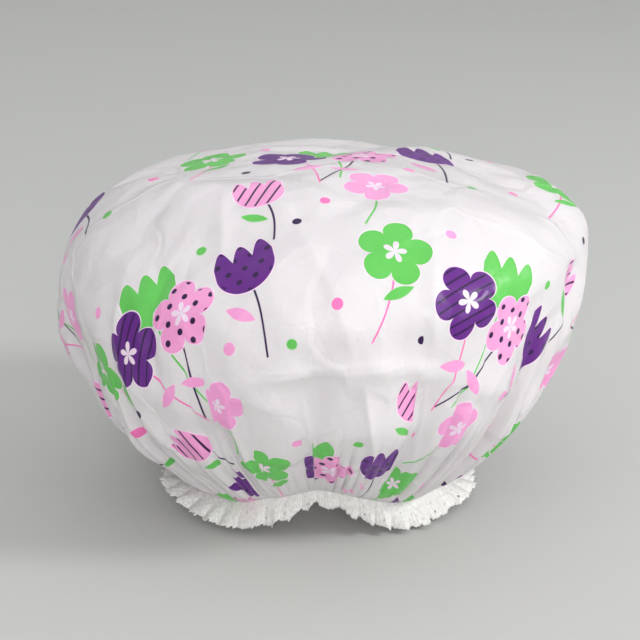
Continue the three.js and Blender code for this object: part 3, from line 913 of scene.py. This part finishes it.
# Each spray has its place on the tile and its turn, then its shapes in the order they are printed:
# kind, place, turn in degrees, size, colour, and the kind of its marks, if any
SPRAYS = [
    ((0, 0, 0), [
        ("stem", (4, 2), 6, 44, GREEN, None),
        ("stem", (15, -6), -20, 42, DARK, None),
        ("stem", (-12, -6), 17, 43, ROSE, None),
        ("leaf", (-5, -27), 24, 7, PINK, None),
        ("leaf", (10, -28), -22, 7, PINK, None),
        ("tulip", (3, 13), 4, 15, GREEN, None),
        ("blossom", (17, -1), 12, 15, PINK, "dots"),
        ("blossom", (-13, -2), -10, 16, PURPLE, "stripes"),
    ]),
    ((-46, 12, -8), [
        ("stem", (0, 0), 0, 40, ROSE, None),
        ("leaf", (5, -17), 38, 7, GREEN, None),
        ("blossom", (0, 0), 20, 15, GREEN, None),
    ]),
    ((45, 10, 10), [
        ("stem", (0, -4), 0, 36, DARK, None),
        ("leaf", (-6, -20), -40, 7, PINK, None),
        ("tulip", (0, 0), 0, 15, PURPLE, "dots"),
    ]),
    ((22, -46, -14), [
        ("stem", (0, -3), 8, 30, GREEN, None),
        ("blossom", (0, 0), 0, 13, PINK, None),
    ]),
    ((-24, -52, 12), [
        ("stem", (0, -3), 0, 28, DARK, None),
        ("leaf", (-5, -15), -35, 6, GREEN, None),
        ("tulip", (0, 0), 0, 12, PINK, "stripes"),
    ]),
]

# Confetti: place on the tile, size, colour
CONFETTI = [
    ((-24, 26), 2.3, PINK),
    ((27, 27), 2.2, GREEN),
    ((66, 30), 1.9, DARK),
    ((-68, -12), 2.4, ROSE),
    ((-30, -24), 1.9, DARK),
    ((36, -22), 2.5, PINK),
    ((62, -26), 2.2, GREEN),
    ((2, -62), 2.1, ROSE),
]


def print_groups():
    def repeated(n, place, x, y):
        across, up, _ = n.split(place)
        across = n.minus(across, x)
        up = n.minus(up, y)
        row = n.math("ROUND", n.math("DIVIDE", up, TILE_HIGH))
        up = n.minus(up, n.times(row, TILE_HIGH))
        across = n.minus(across, n.times(row, TILE_WIDE / 2))
        column = n.math("ROUND", n.math("DIVIDE", across, TILE_WIDE))
        return n.join(n.minus(across, n.times(column, TILE_WIDE)), up)

    def local(n, place, x, y, angle):
        return n.turned(n.vector("SUBTRACT", place, n.join(x, y)), n.times(angle, -1))

    def blossom(n, place, size):
        x, y, _ = n.split(place)
        around_it = n.times(n.math("ARCTAN2", y, x), PETALS / 2)
        lobe = n.math("POWER", n.math("ABSOLUTE", n.math("COSINE", around_it)), PETAL_ROUNDNESS)
        edge = n.times(n.math("MULTIPLY_ADD", lobe, PETAL_DEPTH, 1 - PETAL_DEPTH), size)
        return n.minus(edge, n.vector("LENGTH", place))

    def tulip(n, place, size):
        x, y, _ = n.split(place)
        below = n.vector("LENGTH", n.join(x, n.math("MINIMUM", y, 0)))
        cup = n.minus(n.times(size, TULIP_CUP), below)
        across = n.math("DIVIDE", n.times(x, TULIP_TIPS), size)
        tips = n.math("ABSOLUTE", n.math("COSINE", across))
        top = n.times(n.math("MULTIPLY_ADD", tips, TULIP_TIP_HEIGHT, TULIP_NOTCH), size)
        return n.math("MINIMUM", cup, n.minus(top, y))

    def leaf(n, place, size):
        x, y, _ = n.split(place)
        share = n.math("DIVIDE", x, size)
        bow = n.times(n.minus(1, n.times(share, share)), LEAF_BOW)
        return n.minus(n.times(bow, size), n.math("ABSOLUTE", y))

    def stem(n, place, size):
        x, y, _ = n.split(place)
        bend = n.math("SINE", n.math("DIVIDE", n.times(y, STEM_WAVE), size))
        away = n.math("ABSOLUTE", n.math("MULTIPLY_ADD", bend, STEM_BEND, x))
        ends = n.math("MINIMUM", n.times(y, -1), n.math("ADD", y, size))
        return n.math("MINIMUM", n.minus(STEM_HALF_WIDTH, away), ends)

    def stripes(n, place, size):
        x, _, _ = n.split(n.turned(place, STRIPE_SLANT))
        return n.minus(n.math("PINGPONG", x, STRIPE_SPACING), STRIPE_GAP)

    def dots(n, place, size):
        x, y, _ = n.split(place)
        row = n.math("ROUND", n.math("DIVIDE", y, DOT_UP))
        up = n.minus(y, n.times(row, DOT_UP))
        across = n.math("ADD", x, n.times(row, DOT_ACROSS / 2))
        column = n.math("ROUND", n.math("DIVIDE", across, DOT_ACROSS))
        across = n.minus(across, n.times(column, DOT_ACROSS))
        return n.minus(DOT_RADIUS, n.vector("LENGTH", n.join(across, up)))

    def ink(n, depth, inside, rim):
        room = n.math("MINIMUM", depth, inside)
        return n.math("MULTIPLY_ADD", n.math("ADD", room, rim), 1 / EDGE_SOFTNESS, 0.5, clamp=True)

    spot, number = ("Place", "Vector"), "Float"
    offset = [spot, ("X", number), ("Y", number)]
    rooms = [("Depth", number), ("Inside", number), ("Rim", number)]
    made = {
        "repeated": group("Print Repeat", offset, "Vector", repeated),
        "local": group("Print Local", offset + [("Turn", number)], "Vector", local),
        "ink": group("Print Ink", rooms, number, ink),
    }
    for shape in (blossom, tulip, leaf, stem, stripes, dots):
        name = shape.__name__
        made[name] = group("Print " + name.title(), [spot, ("Size", number)], number, shape)
    return made


PRINT = print_groups()


def printed(n, paper):
    """The colour of the printed film, from its flat coordinates."""
    flat = n.vector("SUBTRACT", n.flat_lay(), (0.5, 0.5, 0))
    flat = n.vector("MULTIPLY", flat, (FLAT_DIAMETER / MM,) * 3)
    color = paper

    def lay(color, tint, depth, inside=FAR_INSIDE, rim=0.0):
        return n.mix(n.use(PRINT["ink"], depth, inside, rim), color, tint)

    for (x, y, turn), shapes in SPRAYS:
        spray = n.turned(n.use(PRINT["repeated"], flat, x, y), -turn * DEGREE)
        for kind, (dx, dy), angle, size, tint, marks in shapes:
            place = n.use(PRINT["local"], spray, dx, dy, angle * DEGREE)
            depth = n.use(PRINT[kind], place, size)
            if kind in ("blossom", "tulip"):
                color = lay(color, PALE, depth, rim=RIM_WIDTH)
            color = lay(color, tint, depth)
            if marks:
                pattern = n.use(PRINT[marks], place, size)
                color = lay(color, DARK, pattern, n.minus(depth, MARK_INSET))
            if kind == "blossom":
                color = lay(color, PALE, n.minus(depth, BLOSSOM_MIDDLE * size))
    for (x, y), size, tint in CONFETTI:
        place = n.use(PRINT["repeated"], flat, x, y)
        color = lay(color, tint, n.minus(size, n.vector("LENGTH", place)))
    return color


# The film's look; the print shows weaker from inside
FILM_WHITE = srgb(241, 234, 237)
FILM_ROUGHNESS = 0.34
FILM_SHINE = 0.35
FILM_OPACITY = 0.68
FILM_SCATTER = 0.5 * MM
EVEN_SCATTER = (1, 1, 1)
PRINT_INSIDE = 0.45

# Relief finer than the mesh: noise (scale per metre, detail, roughness), strength and height
FILM_WAVES = ((80, 4, 0.6), 0.35, 1.4 * MM)
FILM_SKIN = ((900, 2, 0.5), 0.12, 0.06 * MM)
LACE_YARN = ((2400, 2, 0.5), 0.6, 0.12 * MM)

# Flat facets between the film's little creases: their size, how much each tilts and how soft their edges
# are; and how far and how finely noise bends them
FACETS = [(42 * MM, 0.13, 0.2), (16 * MM, 0.05, 0.12)]
FACET_BEND = 26 * MM
FACET_BEND_SCALE = 22


def facets(n, flat, size, blend):
    """Height of a crinkled surface: each cell of the flat film leans its own way."""
    cells = n.add("ShaderNodeTexVoronoi", voronoi_dimensions="2D", feature="SMOOTH_F1")
    found = n.feed_named(cells, Vector=flat, Scale=1 / size, Smoothness=blend)
    lean = n.vector("SUBTRACT", found["Color"], (0.5, 0.5, 0.5))
    across = n.vector("SUBTRACT", flat, found["Position"])
    return n.vector("DOT_PRODUCT", lean, across)


def film_material(name, strength):
    """The film with its print in this strength; it is most opaque where it is inked."""
    n = Material(name)
    color = printed(n, FILM_WHITE)
    if strength < 1:
        color = n.mix(strength, FILM_WHITE, color)
    inked = n.add("ShaderNodeSeparateColor", mode="HSV")
    n.feed(inked.inputs[0], color)
    alpha = n.math("ADD", inked.outputs[1], FILM_OPACITY, clamp=True)
    n.set(Base_Color=color, Alpha=alpha, Roughness=FILM_ROUGHNESS, Specular_IOR_Level=FILM_SHINE)
    n.set(Subsurface_Weight=1.0, Subsurface_Scale=FILM_SCATTER, Subsurface_Radius=EVEN_SCATTER)
    flat = n.vector("MULTIPLY", n.flat_lay(), (FLAT_DIAMETER,) * 3)
    bend = n.add("ShaderNodeTexNoise", noise_dimensions="2D")
    bent = n.feed_named(bend, Vector=flat, Scale=FACET_BEND_SCALE)["Color"]
    flat = n.vector("ADD", flat, n.vector("MULTIPLY", bent, (FACET_BEND,) * 3))
    place = n.place()
    normal = n.relief(place, FILM_WAVES)
    for size, tilt, blend in FACETS:
        normal = n.bump(facets(n, flat, size, blend), tilt, 1, normal)
    n.set(Normal=n.relief(place, FILM_SKIN, normal))
    return n.material


# The lace's look: ribs, with painted shade darkening the gaps between them, and fluff of random tone over
# both
LACE_WHITE = srgb(247, 246, 244)
LACE_GAP_PAINTED_SHADE = srgb(205, 202, 198)
LACE_ROUGHNESS = 0.9
LACE_SHEEN = 0.3
LACE_SOFTNESS = 0.5
LACE_SCATTER = 0.8 * MM
LACE_RIB_HEIGHT = 0.5 * MM
LACE_FLUFF = (650, 3, 0.65)
FLUFF_CONTRAST = 1.6
FLUFF_SHIFT = -0.55
LACE_FLAT_LENGTH = FULL_TURN * LACE_HEADING_RADIUS * LACE_FULLNESS


def lace_material():
    """Cotton crochet: fine ribs across the strip with painted shade in the gaps between them, and fluff."""
    n = Material("lace_cotton")
    place = n.place()
    along, _, _ = n.split(n.flat_lay())
    rib = LACE_FLAT_LENGTH / (RUFFLE_COUNT * RIBS_PER_RUFFLE)
    ribs = n.math("PINGPONG", along, rib / 2)
    fluff = n.math("MULTIPLY_ADD", n.noise(place, *LACE_FLUFF), FLUFF_CONTRAST, FLUFF_SHIFT)
    body = n.math("MULTIPLY_ADD", ribs, 1 / rib, fluff, clamp=True)
    # The colour is painted shade: it runs from grey at each gap between the ribs to white on the ribs, and
    # the fluff shifts it at random
    n.set(Base_Color=n.mix(body, LACE_GAP_PAINTED_SHADE, LACE_WHITE), Roughness=LACE_ROUGHNESS, Sheen_Weight=LACE_SHEEN)
    n.set(Subsurface_Weight=LACE_SOFTNESS, Subsurface_Scale=LACE_SCATTER, Subsurface_Radius=EVEN_SCATTER)
    n.set(Normal=n.bump(body, 1, LACE_RIB_HEIGHT, n.relief(place, LACE_YARN)))
    return n.material


# Plain looks: colour, roughness and relief
ELASTIC_LOOK = ((0.86, 0.85, 0.82, 1), 0.8, ((1200, 2, 0.5), 0.4, 0.1 * MM))
THREAD_LOOK = ((0.93, 0.93, 0.91, 1), 0.7, ((2500, 2, 0.5), 0.4, 0.1 * MM))


def plain_material(name, color, roughness, relief):
    n = Material(name)
    n.set(Base_Color=color, Roughness=roughness)
    n.set(Normal=n.relief(n.place(), relief))
    return n.material


# The studio: radii of the paper floor's rings, and the wall that it curves up into
FLOOR_RINGS = (0.4, 1.2, 2.6, 2.8)
WALL_CURVE = 0.9
WALL_HEIGHT = 1.8
WALL_STEPS = 16
STAGE_SIDES = 96
PAPER = srgb(187, 188, 185)
PAPER_ROUGHNESS = 0.7
SKY = (0.98, 0.985, 1, 1)
SKY_STRENGTH = 0.9

# The camera looks down at its target from the front
CAMERA_TARGET = (0, 23 * MM, 70.9 * MM)
CAMERA_DISTANCE = 747 * MM
CAMERA_ELEVATION = 18 * DEGREE
CAMERA_FIELD = 22 * DEGREE
SENSOR_WIDTH = 36

# Lights: name, place, where it points, diameter, power in watts, width of the beam in degrees. The front
# light's beam is narrow, so that it whitens less of the floor behind the cap.
LIGHTS = [
    ("key", (1.7, -0.6, 1.2), (0, 0, 0.08), 0.5, 21, 180),
    ("low_right", (1.3, -1.0, 0.3), (0, 0, 0.04), 0.5, 3, 180),
    ("front", (0.3, -2.1, 0.7), (0, 0, 0.06), 1.0, 3.1, 70),
    ("fill", (-1.2, -1.3, 0.3), (0, 0, 0.05), 1.0, 3.5, 180),
]


def make_stage():
    """A wide paper floor that curves up into a low wall all round."""
    edge = FLOOR_RINGS[-1]
    profile = [(radius, 0.0) for radius in FLOOR_RINGS]
    for i in range(1, WALL_STEPS + 1):
        turn = i / WALL_STEPS * math.pi / 2
        profile.append((edge + WALL_CURVE * math.sin(turn), WALL_CURVE * (1 - math.cos(turn))))
    profile.append((edge + WALL_CURVE, WALL_HEIGHT))
    turns = np.arange(STAGE_SIDES) * FULL_TURN / STAGE_SIDES
    rows = [around(turns, np.full(STAGE_SIDES, r), np.full(STAGE_SIDES, z)) for r, z in profile]
    faces = [face[::-1] for face in grid_faces(len(rows), STAGE_SIDES, wrap=True)]
    faces.append(tuple(range(STAGE_SIDES))[::-1])
    bowl = new_mesh_object("studio_bowl", np.concatenate(rows), faces)
    n = Material("studio_paper")
    n.set(Base_Color=PAPER, Roughness=PAPER_ROUGHNESS)
    bowl.data.materials.append(n.material)


def make_light(name, place, target, size, power, beam):
    data = bpy.data.lights.new(name, "AREA")
    data.shape = "DISK"
    data.size = size
    data.energy = power
    data.spread = beam * DEGREE
    light = bpy.data.objects.new(name, data)
    light.location = place
    light.rotation_euler = (Vector(target) - Vector(place)).to_track_quat("-Z", "Y").to_euler()
    bpy.context.scene.collection.objects.link(light)


def make_camera():
    data = bpy.data.cameras.new("camera")
    data.sensor_width = SENSOR_WIDTH
    data.lens = data.sensor_width / 2 / math.tan(CAMERA_FIELD / 2)
    camera = bpy.data.objects.new("camera", data)
    back = Vector((0, -math.cos(CAMERA_ELEVATION), math.sin(CAMERA_ELEVATION)))
    camera.location = Vector(CAMERA_TARGET) + back * CAMERA_DISTANCE
    camera.rotation_euler = (math.pi / 2 - CAMERA_ELEVATION, 0, 0)
    bpy.context.scene.collection.objects.link(camera)
    bpy.context.scene.camera = camera


def make_world():
    world = bpy.data.worlds.new("studio")
    world.use_nodes = True
    background = world.node_tree.nodes["Background"]
    background.inputs["Color"].default_value = SKY
    background.inputs["Strength"].default_value = SKY_STRENGTH
    bpy.context.scene.world = world


make_camera()
make_world()
make_stage()
for light in LIGHTS:
    make_light(*light)
bpy.context.scene.view_settings.view_transform = "Standard"

film = make_film()
film.data.materials.append(film_material("film_printed", 1))
film.data.materials.append(film_material("film_inside", PRINT_INSIDE))
apply_modifiers(film)
lace = make_lace()
lace.data.materials.append(lace_material())
apply_modifiers(lace)
elastic = make_elastic()
elastic.data.materials.append(plain_material("elastic_weave", *ELASTIC_LOOK))
thread_material = plain_material("thread_twist", *THREAD_LOOK)
threads = {
    "seam_needle_thread": make_stitches("seam_zigzag_inside", *NEEDLE_SEAM, SEAM_ROW),
    "seam_bobbin_thread": make_stitches("seam_zigzag_pocket", *BOBBIN_SEAM, SEAM_ROW),
    "elastic_join_thread": make_stitches("elastic_join_zigzag", *ELASTIC_JOIN, JOIN_ROW),
    "lace_join_thread": make_stitches("lace_join_zigzag", *LACE_JOIN, JOIN_ROW),
}
for node, stitches in threads.items():
    stitches.data.materials.append(thread_material)
    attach(stitches, "root")
    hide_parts(node)

fabrics = [(film, "cap_film", "film"), (lace, "lace_trim", "lace"), (elastic, "elastic_band", "elastic")]
for piece, node, slot in fabrics:
    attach(piece, "root")
    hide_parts(node)
